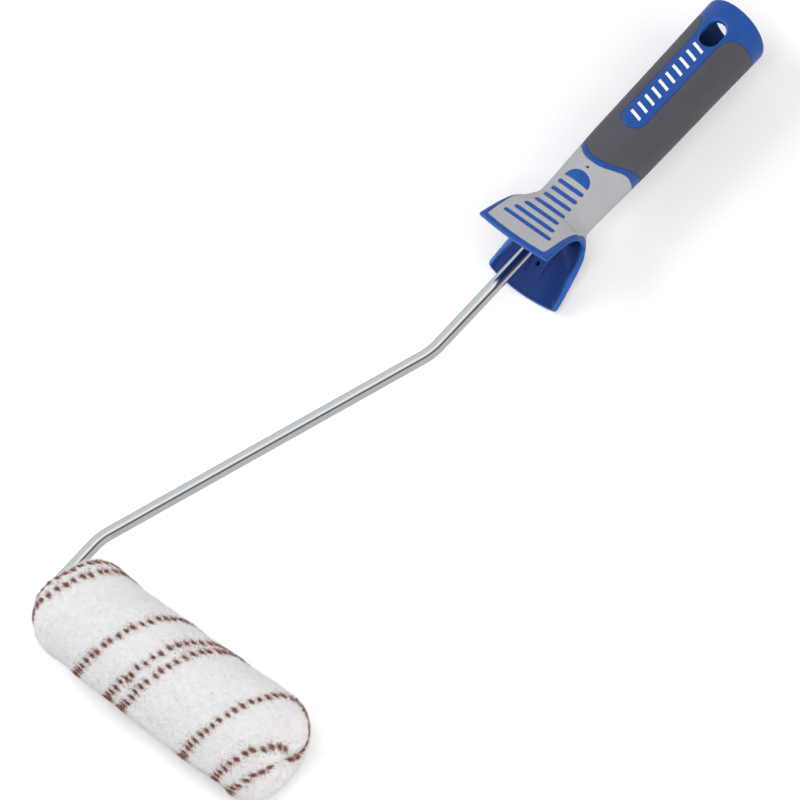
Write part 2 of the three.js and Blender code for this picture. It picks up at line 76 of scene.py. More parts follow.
def new_piece(name, verts, faces, smooth=True):
    """A mesh object in metres from arrays of vertices and faces."""
    mesh = bpy.data.meshes.new(name)
    verts = np.asarray(verts, float)
    faces = np.asarray(faces, int)
    corners = faces.shape[1]
    mesh.vertices.add(len(verts))
    mesh.vertices.foreach_set("co", verts.ravel())
    mesh.loops.add(faces.size)
    mesh.loops.foreach_set("vertex_index", faces.ravel())
    mesh.polygons.add(len(faces))
    mesh.polygons.foreach_set("loop_start", np.arange(0, faces.size, corners))
    mesh.polygons.foreach_set("use_smooth", np.full(len(faces), smooth))
    mesh.update(calc_edges=True)
    return linked(mesh)


def paint(obj, name, values):
    """Store one number at each vertex, for a material to read."""
    layer = obj.data.attributes.new(name, "FLOAT", "POINT")
    layer.data.foreach_set("value", np.asarray(values, np.float32))


def swap_material(obj, material):
    obj.data.materials.clear()
    obj.data.materials.append(material)


# ---- distance fields
# The handle's moulded pieces are solids given by signed distances in mm, below zero inside,
# which join, cut and round off cleanly. A surface net turns a field into a closed mesh.
SHORTEST_EDGE = 1e-6
LEAST_SLOPE = 0.25


def join(a, b, radius=0.0):
    if radius <= 0:
        return np.minimum(a, b)
    share = np.clip(radius - np.abs(a - b), 0, None) / radius
    return np.minimum(a, b) - share * share * radius / 4


def overlap(a, b, radius=0.0):
    return -join(-a, -b, radius)


def cut(a, b, radius=0.0):
    return overlap(a, -b, radius)


def outline_field(points, across, up):
    """Signed distance to a closed outline, over a plane of points."""
    points = np.asarray(points, float)
    across, up = np.broadcast_arrays(across, up)
    nearest = np.full(across.shape, np.inf)
    inside = np.zeros(across.shape, bool)
    for (ax, ay), (bx, by) in zip(points, np.roll(points, -1, axis=0)):
        dx, dy = bx - ax, by - ay
        length = dx * dx + dy * dy
        if length < SHORTEST_EDGE**2:
            continue
        t = np.clip(((across - ax) * dx + (up - ay) * dy) / length, 0, 1)
        gap = (across - ax - t * dx) ** 2 + (up - ay - t * dy) ** 2
        nearest = np.minimum(nearest, gap)
        crosses = (ay > up) != (by > up)
        if dy:
            inside ^= crosses & (across < ax + (up - ay) * dx / dy)
    return np.sqrt(nearest) * np.where(inside, -1, 1)


def bezier(p0, p1, p2, p3, count=14):
    t = np.linspace(0, 1, count)[:, None]
    p0, p1, p2, p3 = (np.array(p, float) for p in (p0, p1, p2, p3))
    return p0 * (1 - t) ** 3 + 3 * p1 * t * (1 - t) ** 2 + 3 * p2 * t**2 * (1 - t) + p3 * t**3


def arc(centre, radius, start, end, count=14):
    angle = np.radians(np.linspace(start, end, count))
    return np.array(centre) + radius * np.stack([np.cos(angle), np.sin(angle)], 1)


def capsule_field(length, width, across, up):
    """Signed distance to a slot with round ends that runs along up."""
    reach = (length - width) / 2
    return np.hypot(across, np.clip(np.abs(up) - reach, 0, None)) - width / 2


def smoothstep(low, high, value):
    t = np.clip((value - low) / (high - low), 0, 1)
    return t * t * (3 - 2 * t)


CELL_CORNERS = [(i, j, k) for i in (0, 1) for j in (0, 1) for k in (0, 1)]


def surface_net(field, origin, step):
    """Vertices and quads of the surface where the field is zero."""
    shape = np.array(field.shape) - 1
    inside = field < 0
    below = np.zeros(shape, int)
    for i, j, k in CELL_CORNERS:
        below += inside[i : shape[0] + i, j : shape[1] + j, k : shape[2] + k]
    cells = np.argwhere((below > 0) & (below < 8))
    index = np.full(shape, -1)
    index[tuple(cells.T)] = np.arange(len(cells))
    total = np.zeros((len(cells), 3))
    count = np.zeros((len(cells), 1))
    for axis in range(3):
        ends = np.zeros(3, int)
        ends[axis] = 1
        for corner in CELL_CORNERS:
            if corner[axis]:
                continue
            a = cells + corner
            b = a + ends
            fa, fb = field[tuple(a.T)], field[tuple(b.T)]
            hit = (fa < 0) != (fb < 0)
            t = np.where(hit, fa / np.where(hit, fa - fb, 1), 0)
            total += np.where(hit[:, None], a + t[:, None] * ends, 0)
            count += hit[:, None]
    verts = np.array(origin) + step * total / count
    quads = []
    for axis in range(3):
        ends = np.zeros(3, int)
        ends[axis] = 1
        u, v = [e for e in range(3) if e != axis]
        size = np.array(field.shape) - ends
        first = inside[: size[0], : size[1], : size[2]]
        second = inside[ends[0] :, ends[1] :, ends[2] :]
        at = np.argwhere(first != second)
        at = at[(at[:, u] > 0) & (at[:, v] > 0) & (at[:, u] < shape[u]) & (at[:, v] < shape[v])]
        out = first[tuple(at.T)] ^ (axis == 1)
        du, dv = np.zeros(3, int), np.zeros(3, int)
        du[u], dv[v] = 1, 1
        ring = [at - du - dv, at - dv, at, at - du]
        quad = np.stack([index[tuple(r.T)] for r in ring], 1)
        quads.append(np.where(out[:, None], quad, quad[:, ::-1]))
    return verts, np.concatenate(quads)


def on_handle(points):
    """From the handle's own frame in mm to the shared frame in metres."""
    return points * MM + np.array([MOUTH_X, HANDLE_Y, AXIS_Z])


class Grid:
    """A box of sample points in the handle's own frame, in mm: u along it, y across, z up."""

    def __init__(self, low, high, step):
        self.low, self.step = np.array(low, float), step
        counts = np.ceil((np.array(high) - self.low) / step).astype(int) + 1
        lines = [self.low[i] + step * np.arange(counts[i]) for i in range(3)]
        self.u, self.y, self.z = np.meshgrid(*lines, indexing="ij", sparse=True)
        self.angle = np.arctan2(self.y, self.z)

    def evened(self, field):
        """The field divided by its own slope, so that it measures distance again."""
        slope = np.gradient(field, self.step)
        steepness = np.sqrt(slope[0] ** 2 + slope[1] ** 2 + slope[2] ** 2)
        return field / np.clip(steepness, LEAST_SLOPE, None)

    def sample(self, field, points):
        """The field's value at any points inside the grid."""
        place = (points - self.low) / self.step
        corner = np.floor(place).astype(int)
        share = place - corner
        total = np.zeros(len(points))
        for step in CELL_CORNERS:
            weight = np.prod(np.where(step, share, 1 - share), axis=1)
            total += weight * field[tuple((corner + step).T)]
        return total

    def piece(self, name, field):
        """The field's surface as a mesh object, and its vertices in the handle's frame."""
        verts, quads = surface_net(field, self.low, self.step)
        return new_piece(name, on_handle(verts), quads), verts


# ---- the handle's shape
HANDLE_LENGTH = 148.4
END_SLOPE = 0.17
EDGE_ROUNDING = 1.6
LIP_HALF_WIDTH = 20.4
LIP_HALF_HEIGHT = 23.3
LOWER_LIP_DROP = 0.9
LIP_WALL = 3.3
FRONT_ROUNDING = 1.4
RIM = 2.8
# The guard is nearly square at its front, and its section rounds off up to ROUND_FROM.
SQUARENESS, SQUARE_FADE, ROUND_FROM = 12, 1.25, 24
FLARE_POWER = 1.6
SHOULDER = (20.5, 31.5)
NECK_U = 36.0
NECK_RADIUS = 14.1
WAIST_U = [NECK_U, 50, 65, 87, 120, 152]
WAIST_RADIUS = [NECK_RADIUS, 14.65, 15.2, 15.5, 15.9, 16.5]
WAIST_STEPS, WAIST_BLUR = 200, 31
# The arch between the lips: its depth, its opening, and where its curve leaves the lips and turns.
NOTCH_DEPTH = 22.8
NOTCH_HALF_HEIGHT = 20.3
NOTCH_START, NOTCH_LEAD, NOTCH_RISE, NOTCH_TURN = -2, 7, 3.6, 5.4
NOTCH_BLEND = 0.8
MOUTH_DEPTH = 32.0
MOUTH_ROUNDING = 4.0
# Cutting outlines end at these places, clear of what they cut.
PAST_FRONT, PAST_SIDE, PAST_SKIN, PAST_END = -8, 30, 80, 170
SKIN = 1.6
# Soft skins stand a hair proud of the hard core, whose recess is a little narrower.
PROUD = 0.07
BITE = 0.15
LEFT_UNDER_SKIN = 1.2
SKIN_EDGE_ROUNDING = 0.5
SKIN_HALF_WIDTH = 16.8
SKIN_CORNER = 2.5
SKIN_WIDENS = SHOULDER[0] + 6
# Both skins end in a line that sweeps back down the sides, over a range of angles from the top.
NECK_SKIN_END, NECK_SKIN_SWEEP, NECK_SWEEP_ANGLES = 53, 6.7, (0.1, 1.3)
GRIP_START, GRIP_SWEEP, GRIP_SWEEP_ANGLES = 55.4, 9, (0, 1.65)
GRIP_CORNER = 4.0
GRIP_LOBE_END = 139.8
LOBE_HALF_GAP, LOBE_LENGTH = 14.5, 14
PANEL_TIP = 75.8
PANEL_HALF_WIDTH = 6.2
BAR_COUNT, BAR_FIRST, BAR_PITCH = 10, PANEL_TIP + 6.5, 4.7
BAR_WIDTH, BAR_LENGTH, BAR_LEAN, BAR_HALF_THICKNESS = 1.5, 6.4, 1.6, 0.05
MOON_U, MOON_HALF_WIDTH, MOON_HEIGHT = 41.3, 6.7, 5.7
MOON_CONTROL = 1.33
SLOT_COUNT, SLOT_FIRST, SLOT_PITCH, SLOT_WIDTH = 7, 9.9, 4.57, 2.0
SLOT_FRONT, SLOT_BACK, SLOT_TAPER = 27.2, 14.2, 2.2
SLOT_BEND, SLOT_BEND_ZONE = 0.0137, (18, 30)
SLOT_DEPTH = 0.3
WINDOWS_ABOVE = 4
VENT_U, VENT_RADIUS = 49.7, 0.7
PIN_U, PIN_RADIUS, PIN_MARGIN, PIN_FLOOR, PIN_SHADE = 10.5, 0.8, 0.1, 2.1, 8
RIB_Y, RIB_HALF_THICKNESS, RIB_FRONT, RIB_SLOPE = 4.4, 0.45, 4.8, 0.39
RIB_FRONT_Z, RIB_HEIGHT, RIB_TOP_Z = -19.0, 0.6, -6
SOCKET_RADIUS, SOCKET_TAPER, SOCKET_START = 10.8, 0.0125, 56
# Each wave around the socket gives two flutes.
FLUTE_WAVES, FLUTE_DEPTH, FLUTE_SHARPNESS = 24, 0.4, 8
WIRE_GAP, WIRE_BORE_END = 0.1, 48
HANG_HOLE_U = 134.2
HANG_HOLE_LENGTH = 13.6
HANG_HOLE_WIDTH = 9.8
SOCKET_ROUNDING, HOLE_ROUNDING, PIN_ROUNDING, WINDOW_ROUNDING, FINE_ROUNDING = 1.4, 1.5, 0.4, 0.35, 0.3
# The sampled boxes, a little larger than each piece, and their steps.
CORE_BOX, CORE_STEP = ((-4.5, -22, -27), (154, 22, 25)), 0.5
NECK_BOX, GRIP_BOX, SKIN_STEP = ((-2, -20, -26), (62, 20, 24.5)), ((53, -18, -18), (143, 18, 18)), 0.4


def waist(u):
    """The round handle's radius, from a smooth curve through its stations."""
    fine = np.linspace(WAIST_U[0], WAIST_U[-1], WAIST_STEPS)
    radius = np.interp(fine, WAIST_U, WAIST_RADIUS)
    blur = np.hanning(WAIST_BLUR) / np.hanning(WAIST_BLUR).sum()
    radius = np.convolve(np.pad(radius, WAIST_BLUR // 2, mode="edge"), blur, mode="valid")
    return np.interp(u, fine, radius)


def half_width(u):
    """The handle's half width from above: the guard's, then the round neck's."""
    return waist(u) + (LIP_HALF_WIDTH - NECK_RADIUS) * (1 - smoothstep(*SHOULDER, u))


def handle_outline(g):
    """Distance to the handle's outside, from a flat guard through a round neck to the grip."""
    wide = half_width(g.u)
    tall = LIP_HALF_HEIGHT + np.where(g.z < 0, LOWER_LIP_DROP, 0)
    flare = np.clip(1 - g.u / NECK_U, 0, None) ** FLARE_POWER
    high = waist(g.u) + (tall - NECK_RADIUS) * flare
    power = 2 + SQUARENESS * np.clip(1 - g.u / ROUND_FROM, 0, None) ** SQUARE_FADE
    reach = (np.abs(g.y / wide) ** power + np.abs(g.z / high) ** power) ** (1 / power)
    return g.evened((reach - 1) * np.minimum(wide, high))


def front_at(front, bow, y):
    """Where a lip's bowed front edge stands."""
    return front - bow * (1 - (y / LIP_HALF_WIDTH) ** 2)


def notch_outline():
    """The arch between the lips from the side, in u and z."""
    deep, top = NOTCH_DEPTH, NOTCH_HALF_HEIGHT
    bottom = top + LOWER_LIP_DROP
    lead, turn = NOTCH_RISE - bottom, NOTCH_TURN - bottom
    low = bezier((NOTCH_START, -bottom), (NOTCH_LEAD, lead), (deep, turn), (deep, 0))
    lead, turn = top - NOTCH_RISE, top - NOTCH_TURN
    high = bezier((deep, 0), (deep, turn), (NOTCH_LEAD, lead), (NOTCH_START, top))
    first, last = (PAST_FRONT, -bottom - 2), (PAST_FRONT, top + 2)
    return np.concatenate([[first], low, high[1:], [last]])


def guard_hollow(g, outside):
    """The open mouth between the lips together with the arch that cuts through both sides."""
    mouth = overlap(outside + LIP_WALL, g.u - MOUTH_DEPTH, MOUTH_ROUNDING)
    arch = outline_field(notch_outline(), g.u[:, 0, :], g.z[:, 0, :])[:, None, :]
    return join(mouth, arch, NOTCH_BLEND)


def skin_outline(front, bow, shrink):
    """The light skin's edge in plan: as wide as a lip's flat face, then the whole neck."""
    side, corner = SKIN_HALF_WIDTH - shrink, SKIN_CORNER
    straight = side - corner
    neck = SKIN_WIDENS + shrink
    inset = RIM + shrink
    near, far = (front_at(front, bow, y) + inset for y in (straight, side))
    turn = bezier((near, -straight), (far, -side), (far, -side), (far + corner, -side), 8)
    edge = [(front_at(front, bow, y) + inset, y) for y in np.linspace(straight, -straight, 9)]
    left = [(neck, -side), (neck, -PAST_SIDE), (PAST_SKIN, -PAST_SIDE)]
    right = [(PAST_SKIN, PAST_SIDE), (neck, PAST_SIDE), (neck, side)]
    return np.concatenate([edge, turn[1:], left, right, turn[::-1][:-1] * (1, -1)])


def skin_zone(g, shrink):
    """Below zero where the light skin lies: the flat of the guard, then the whole neck."""
    plan = g.u[:, :, 0], g.y[:, :, 0]
    upper = outline_field(skin_outline(UPPER_FRONT, UPPER_BOW, shrink), *plan)[:, :, None]
    lower = outline_field(skin_outline(LOWER_FRONT, LOWER_BOW, shrink), *plan)[:, :, None]
    strip = np.where(g.z > 0, upper, lower)
    sweep = NECK_SKIN_SWEEP * smoothstep(*NECK_SWEEP_ANGLES, np.abs(g.angle))
    edge = NECK_SKIN_END + sweep - shrink
    return overlap(strip, g.u - edge, 1.0)


def grip_zone(g, shrink):
    """Below zero where the dark grip lies."""
    sweep = GRIP_SWEEP * smoothstep(*GRIP_SWEEP_ANGLES, np.abs(g.angle))
    front = GRIP_START + sweep + shrink
    half, lobe = PANEL_HALF_WIDTH + shrink, GRIP_LOBE_END - shrink
    around = overlap(front - g.u, g.u - lobe, GRIP_CORNER)
    side = bezier(
        (lobe, -LOBE_HALF_GAP), (lobe - 1, -half - 1.5), (lobe - 5, -half), (lobe - LOBE_LENGTH, -half)
    )
    tip = arc((PANEL_TIP - shrink + half, 0), half, 270, 90)
    left = [(PAST_END, -PAST_SIDE), (lobe, -PAST_SIDE)]
    right = [(lobe, PAST_SIDE), (PAST_END, PAST_SIDE)]
    panel = np.concatenate([left, side, tip, side[::-1] * (1, -1), right])
    strip = outline_field(panel, g.u[:, :, 0], g.y[:, :, 0])[:, :, None]
    return cut(around, overlap(strip, -g.z))


def windows(g, grow):
    """The seven slots and the half-moon through the skin on top of the guard."""
    plan_u, plan_y = g.u[:, :, 0], g.y[:, :, 0]
    flat, top = MOON_U - grow, MOON_U + (MOON_HEIGHT + grow) * MOON_CONTROL
    half = MOON_HALF_WIDTH + grow
    moon = bezier((flat, -half), (top, -half), (top, half), (flat, half))
    field = outline_field(moon, plan_u, plan_y)
    for i in range(SLOT_COUNT):
        share = (1 - i / (SLOT_COUNT - 1)) ** SLOT_TAPER
        length = SLOT_BACK + (SLOT_FRONT - SLOT_BACK) * share
        at = SLOT_FIRST + SLOT_PITCH * i
        # On the round neck the slots curve back, so that they look straight from above.
        bend = SLOT_BEND * smoothstep(*SLOT_BEND_ZONE, at) * plan_y**2
        field = join(field, capsule_field(length, SLOT_WIDTH, plan_u - at - bend, plan_y) - grow)
    return overlap(field[:, :, None], WINDOWS_ABOVE - g.z)


def socket(g):
    """The fluted conical pole socket in the handle's end, and the wire's narrow bore before it."""
    radius = np.hypot(g.y, g.z)
    flutes = FLUTE_DEPTH * np.cos(FLUTE_WAVES * g.angle) ** FLUTE_SHARPNESS
    side = radius - SOCKET_RADIUS - SOCKET_TAPER * g.u + flutes
    cone = overlap(side, SOCKET_START - g.u, HOLE_ROUNDING)
    bore = overlap(radius - WIRE_RADIUS / MM - WIRE_GAP, g.u - WIRE_BORE_END)
    return cone, bore


def ribs(g, outside):
    """The two low ribs on the inside of the lower lip."""
    slope = (g.z - RIB_FRONT_Z) - (g.u - RIB_FRONT) * RIB_SLOPE
    for y in (-RIB_Y, RIB_Y):
        wall = np.abs(g.y - y) - RIB_HALF_THICKNESS
        rib = overlap(wall, overlap(slope - RIB_HEIGHT, RIB_FRONT - g.u), FINE_ROUNDING)
        rib = overlap(rib, overlap(outside + 2, g.z - RIB_TOP_Z))
        yield overlap(rib, g.u - MOUTH_DEPTH)


def handle_core():
    """The hard body, which stores how deep under the outside each vertex lies, for its material's painted
    highlight and painted shade.
    """
    g = Grid(*CORE_BOX, CORE_STEP)
    outside = handle_outline(g)
    end = (g.u - HANDLE_LENGTH - END_SLOPE * g.z) / math.hypot(1, END_SLOPE)
    body = overlap(outside, end, EDGE_ROUNDING)
    hollow = guard_hollow(g, outside)
    recess = overlap(-outside - SKIN, LEFT_UNDER_SKIN - hollow)
    for zone in (skin_zone(g, BITE), grip_zone(g, BITE)):
        body = cut(body, overlap(zone, recess))
    pads = overlap(windows(g, BITE), outside + SLOT_DEPTH)
    body = join(body, overlap(pads, -outside - 2 * SKIN))
    body = cut(body, hollow, EDGE_ROUNDING)
    upper = front_at(UPPER_FRONT, UPPER_BOW, g.y)
    lower = front_at(LOWER_FRONT, LOWER_BOW, g.y)
    body = overlap(body, np.where(g.z > 0, upper, lower) - g.u, FRONT_ROUNDING)
    cone, bore = socket(g)
    body = cut(cut(body, cone, SOCKET_ROUNDING), bore)
    hole = capsule_field(HANG_HOLE_LENGTH, HANG_HOLE_WIDTH, g.y[:, :, 0], g.u[:, :, 0] - HANG_HOLE_U)
    body = cut(body, overlap(hole[:, :, None], -g.z), HOLE_ROUNDING)
    pin = overlap(np.hypot(g.u - PIN_U, g.y) - PIN_RADIUS, g.z)
    body = cut(body, overlap(pin, outside + PIN_FLOOR), PIN_ROUNDING)
    for rib in ribs(g, outside):
        body = join(body, rib, FINE_ROUNDING)
    made, verts = g.piece("handle_core_body", body)
    # The pin hole's vertices get a large depth, so that the material paints them with its darkest painted
    # shade.
    in_pin = np.hypot(verts[:, 0] - PIN_U, verts[:, 1]) < PIN_RADIUS + PIN_MARGIN
    in_pin &= verts[:, 2] < -NECK_RADIUS / 2
    paint(made, "depth", np.where(in_pin, PIN_SHADE, -g.sample(outside, verts)))
    return made


def skin_shell(g, outside):
    return overlap(outside - PROUD, -(outside + SKIN))


def neck_skin():
    g = Grid(*NECK_BOX, SKIN_STEP)
    outside = handle_outline(g)
    shell = overlap(skin_shell(g, outside), LEFT_UNDER_SKIN - guard_hollow(g, outside))
    body = overlap(shell, skin_zone(g, 0), SKIN_EDGE_ROUNDING)
    body = cut(body, windows(g, 0), WINDOW_ROUNDING)
    vent = overlap(np.hypot(g.u - VENT_U, g.y) - VENT_RADIUS, -g.z)
    return g.piece("neck_skin_sleeve", cut(body, vent, FINE_ROUNDING))[0]


def grip_skin():
    g = Grid(*GRIP_BOX, SKIN_STEP)
    shell = skin_shell(g, handle_outline(g))
    return g.piece("grip_skin_sleeve", overlap(shell, grip_zone(g, 0), SKIN_EDGE_ROUNDING))[0]


def panel_bars():
    """A plain printed row of bars along the blue strip."""
    across = np.linspace(-BAR_LENGTH / 2, BAR_LENGTH / 2, 9)
    n = len(across)
    verts, faces = [], []
    for bar in range(BAR_COUNT):
        start = len(verts)
        for lift in (-BAR_HALF_THICKNESS, BAR_HALF_THICKNESS):
            for edge in (-BAR_WIDTH / 2, BAR_WIDTH / 2):
                for y in across:
                    u = BAR_FIRST + BAR_PITCH * bar + edge + BAR_LEAN * y / BAR_LENGTH
                    verts.append((u, y, math.sqrt(waist(u) ** 2 - y * y) + lift))
        # Rows a and b are the underside's edges, c and d the upper side's.
        for i in range(n - 1):
            a, b, c, d = (start + k * n + i for k in range(4))
            faces += [(a, a + 1, b + 1, b), (c, d, d + 1, c + 1)]
            faces += [(a, c, c + 1, a + 1), (b, b + 1, d + 1, d)]
        a, b, c, d = (start + k * n for k in range(4))
        e = n - 1
        faces += [(a, b, d, c), (a + e, c + e, d + e, b + e)]
    return new_piece("panel_bars", on_handle(np.array(verts)), faces, smooth=False)


# ---- the wire
# The wire goes sideways out of the roller, then slants back and bends into the handle.
LEG_LENGTH = 33.9
REACH_END = 58.2
HELD_END = 47
BEND_RADII = (9, 28, 28)
# Each end narrows to a share of the wire's radius, over a share of it along the wire.
END_SHARE, END_EASE = 0.72, 0.3
UP = np.array([0, 0, 1.0])


def bent_path(corners, radii, bend_steps=14):
    """Points along straight lines whose corners are rounded off."""
    path = [Vector(corners[0])]
    for before, corner, after, radius in zip(corners, corners[1:], corners[2:], radii):
        corner = Vector(corner)
        back = (Vector(before) - corner).normalized()
        ahead = (Vector(after) - corner).normalized()
        turn = math.pi - back.angle(ahead)
        centre = corner + (back + ahead).normalized() * radius / math.cos(turn / 2)
        arm = corner + back * radius * math.tan(turn / 2) - centre
        axis = ahead.cross(back).normalized()
        for i in range(bend_steps + 1):
            path.append(centre + Matrix.Rotation(turn * i / bend_steps, 3, axis) @ arm)
    path.append(Vector(corners[-1]))
    return path


def swept_rod(name, path, radius, sides=40):
    """A round rod along a path that lies in one level plane, with its ends eased off."""
    path = [np.array(p) for p in path]
    ease = radius * END_EASE
    first = (path[1] - path[0]) / np.linalg.norm(path[1] - path[0])
    last = (path[-1] - path[-2]) / np.linalg.norm(path[-1] - path[-2])
    centres = [path[0], path[0] + first * ease, *path[1:-1], path[-1] - last * ease, path[-1]]
    widths = np.full(len(centres), radius)
    widths[[0, -1]] *= END_SHARE
    angles = np.linspace(0, 2 * math.pi, sides, endpoint=False)[:, None]
    rings = []
    for i, (centre, width) in enumerate(zip(centres, widths)):
        ahead = centres[min(i + 1, len(centres) - 1)] - centre
        behind = centre - centres[max(i - 1, 0)]
        ahead = ahead / max(np.linalg.norm(ahead), SHORTEST_EDGE)
        behind = behind / max(np.linalg.norm(behind), SHORTEST_EDGE)
        along = (ahead + behind) / np.linalg.norm(ahead + behind)
        across = np.array([-along[1], along[0], 0.0])
        rings.append(centre + width * (np.cos(angles) * across + np.sin(angles) * UP))
    verts = np.concatenate(rings + [[path[0]], [path[-1]]])
    start, end = len(verts) - 2, len(verts) - 1
    base = start - sides
    faces = []
    for j in range(sides):
        k = (j + 1) % sides
        faces += [(i + j, i + k, i + sides + k, i + sides + j) for i in range(0, base, sides)]
        faces += [(start, k, j), (end, base + j, base + k)]
    mesh = bpy.data.meshes.new(name)
    mesh.from_pydata(verts.tolist(), [], faces)
    mesh.polygons.foreach_set("use_smooth", np.ones(len(faces), bool))
    return linked(mesh)


def wire_frame():
    leg_y = WIRE_HIGH.y - WIRE_RADIUS
    corners = [
        (AXIS_X, WIRE_LOW.y, AXIS_Z),
        (AXIS_X, leg_y, AXIS_Z),
        (AXIS_X + LEG_LENGTH * MM, leg_y, AXIS_Z),
        (MOUTH_X - REACH_END * MM, HANDLE_Y, AXIS_Z),
        (MOUTH_X + HELD_END * MM, HANDLE_Y, AXIS_Z),
    ]
    path = bent_path(corners, [radius * MM for radius in BEND_RADII])
    return swept_rod("wire_frame_bent", path, WIRE_RADIUS)


# ---- the plush cover
PILE_RADIUS = 25.2
PILE_BULGE = 0.6
ROUNDING = 17.0
DIMPLE = 4.5
EYE_RADIUS = 5.3
BORE_RADIUS = 8.5
FUR_DEPTH = 0.7
BODY_RINGS, BODY_SIDES = 300, 300
# Each marker thread: where it crosses the line at THREAD_ANGLE, and where it ends on the drawn-shut
# end, in mm along the outline from the dimple. Over that end a thread turns more slowly.
THREADS = ((19.0, 4.5), (-0.4, 13.0), (-8.4, 15.0))
THREAD_ANGLE = math.radians(-13.6)
THREAD_PITCH = 64.6
END_TURN = 0.45
END_ZONE = (22.0, 43.0)
LAST_TUFT = 6
TUFT_PITCH = 4.1
# How one tuft spreads along the roller and around it, and its growth on the drawn-shut end.
TUFT_ALONG, TUFT_AROUND = 1.3, 0.76
TUFT_GROWTH, TUFT_GROWTH_ZONE = 0.4, (18, 34)
TUFT_SIZES, TUFT_SHIFT, TUFT_TURN = (0.75, 1.15), 0.3, 0.35
TUFT_FIBRES = 120
STRAYS, STRAY_ALONG, STRAY_AROUND = 0.2, 1.7, 1.9
# On the drawn-shut end, the tufts are combed toward the dimple.
COMBED, COMBED_ZONE = 0.9, (14, 30)
TUFT_TIPS, TUFT_RADII = (-0.2, 0.35), (0.09, 0.15)
WHITE_FIBRES = 19000
FIBRE_LENGTHS, FIBRE_RADII, FIBRE_LEAN, FIBRE_CURL = (1.0, 1.7), (0.06, 0.10), 0.35, 0.3
ROOT_DEPTH = 0.45
# Where a hair bends and how thin it is there, and how far a leaning spike rises, as shares.
HAIR_BEND, HAIR_TAPER, SPIKE_RISE = 0.55, 0.75, 0.85
# White fibres thin out toward a tuft's middle, where none are left.
THINNED = 1.1
WAVES = 24
# Slow unevenness and small clumps: height, wavelength and seed.
UNEVENNESS = ((0.4, 42, 3), (0.2, 11, 4))
CLUMPS = ((0.10, 2.6, 5), (0.07, 1.3, 6))
LIFT_FADE = 4
FOLD_HEIGHT, FOLD_RADIUS, FOLD_REACH, FOLD_END = 0.8, 6.5, 4.0, 12
# Soft swells and hollows of the stuffed cloth: place along the roller, angle, reach and height.
SWELLS = (
    (46, -109, 20, -2.6),
    (14, -109, 13, -1.5),
    (56, 71, 18, 2.0),
    (66, -30, 17, 3.2),
    (-66, -130, 13, 2.4),
    (-50, -109, 9, -1.2),
)


def unit(vectors):
    return vectors / np.linalg.norm(vectors, axis=1)[:, None]


def pile_profile(count=320):
    """The plush's outline as radius and place along the axis, with even steps, in mm."""
    low, high = PILE_LOW.y / MM, PILE_HIGH.y / MM
    wide = PILE_RADIUS + PILE_BULGE
    low_arc = arc((wide - ROUNDING, low + ROUNDING), ROUNDING, -90, 0, 40)
    high_arc = arc((PILE_RADIUS - ROUNDING, high - ROUNDING), ROUNDING, 0, 90, 40)
    dip = bezier((0, low + DIMPLE), (2.2, low + DIMPLE - 0.4), (4, low), low_arc[0], 14)
    flank = bezier(low_arc[-1], (wide, -30), (PILE_RADIUS, -20), high_arc[0], 60)
    brim = (EYE_RADIUS + 0.8, high)
    eye = bezier(high_arc[-1], brim, (EYE_RADIUS, high - 1.5), (EYE_RADIUS, high - DIMPLE), 14)
    line = np.concatenate([dip, low_arc[1:], flank[1:], high_arc[1:], eye[1:]])
    run = np.concatenate([[0], np.cumsum(np.hypot(*np.diff(line, axis=0).T))])
    even = np.linspace(0, run[-1], count)
    return np.stack([np.interp(even, run, line[:, 0]), np.interp(even, run, line[:, 1])], 1)


def ripple(points, scale, seed):
    """Smooth noise from a few random waves, near -1 to 1."""
    waves = np.random.default_rng(seed)
    total = np.zeros(len(points))
    for _ in range(WAVES):
        direction = waves.normal(size=3)
        direction /= np.linalg.norm(direction)
        length = scale * waves.uniform(0.7, 1.5)
        total += np.sin(points @ direction * 2 * math.pi / length + waves.uniform(0, 2 * math.pi))
    return total / math.sqrt(WAVES / 2) / 2


def on_roller(points):
    """From the roller's own frame in mm to the shared frame in metres."""
    return points * MM + np.array([AXIS_X, 0, AXIS_Z])


def pile_point(run, angle):
    """Points and outward directions on the plush, at a share of its outline and an angle."""
    place = run * (len(PROFILE) - 1)
    index = np.clip(place.astype(int), 0, len(PROFILE) - 2)
    t = (place - index)[:, None]
    here = PROFILE[index] * (1 - t) + PROFILE[index + 1] * t
    out = NORMALS[index] * (1 - t) + NORMALS[index + 1] * t
    side, rise = np.sin(angle), np.cos(angle)
    points = np.stack([here[:, 0] * side, here[:, 1], here[:, 0] * rise], 1)
    outward = np.stack([out[:, 0] * side, out[:, 1], out[:, 0] * rise], 1)
    return points, unit(outward)


def profile_normals(profile):
    along = np.gradient(profile, axis=0)
    return unit(np.stack([along[:, 1], -along[:, 0]], 1))


def sag(points):
    """How far the plush stands proud of or short of its even shape, in mm."""
    total = np.zeros(len(points))
    for height, scale, seed in UNEVENNESS:
        total += height * ripple(points, scale, seed)
    for y, degrees, reach, height in SWELLS:
        turn = math.radians(degrees)
        centre = np.array([PILE_RADIUS * math.sin(turn), y, PILE_RADIUS * math.cos(turn)])
        gap = np.linalg.norm(points - centre, axis=1) / reach
        total += height * np.exp(-gap * gap)
    return total + gathers(points)


def gathers(points):
    """Folds that run into the dimple where the cloth is drawn shut."""
    across = np.hypot(points[:, 0], points[:, 2])
    angle = np.arctan2(points[:, 0], points[:, 2])
    fold = np.cos(5 * angle + 0.8) + 0.6 * np.cos(3 * angle - 1.9)
    zone = np.exp(-(((across - FOLD_RADIUS) / FOLD_REACH) ** 2))
    return FOLD_HEIGHT * fold * zone * (points[:, 1] < PILE_LOW.y / MM + FOLD_END)


PROFILE = pile_profile()
NORMALS = profile_normals(PROFILE)
LENGTHS = np.concatenate([[0], np.cumsum(np.hypot(*np.diff(PROFILE, axis=0).T))])


